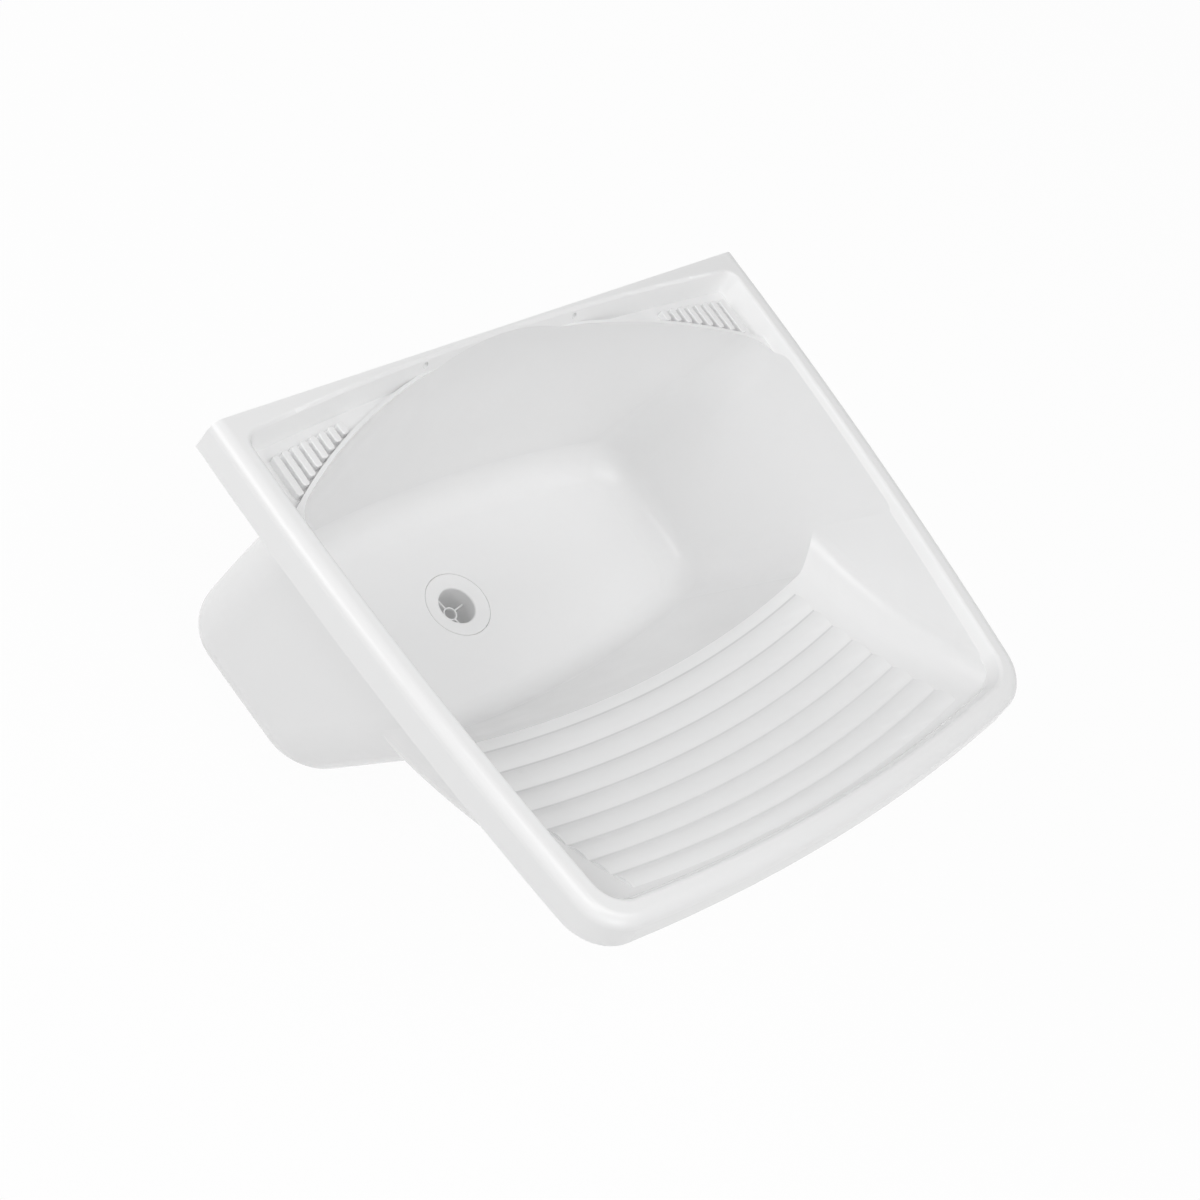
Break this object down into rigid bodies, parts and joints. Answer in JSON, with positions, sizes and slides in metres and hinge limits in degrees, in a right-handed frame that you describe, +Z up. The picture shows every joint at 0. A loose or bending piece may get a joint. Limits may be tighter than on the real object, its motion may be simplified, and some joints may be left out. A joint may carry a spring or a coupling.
{
  "type": "laundry tub",
  "caption": "Wall-hung plastic laundry tub with a deep bowl, a curved ribbed washboard sloping up to the front, corner soap dishes and a screwed drain valve.",
  "frame": {"origin": "on the wall plane, midway between the two wall fixing holes", "axes": "+X to the right seen from the front, +Y into the wall, +Z up"},
  "size_m": [0.56, 0.459, 0.2745],
  "materials": {
    "tub_plastic": "white, semi-gloss moulded",
    "valve_plastic": "white, semi-gloss moulded",
    "rubber": "black, matt"
  },
  "bodies": {
    "root": {"tub_shell": "tub_plastic", "drain_valve": "valve_plastic", "flange_seal": "rubber", "tail_washer": "rubber", "lock_nut": "valve_plastic"}
  },
  "joints": []
}
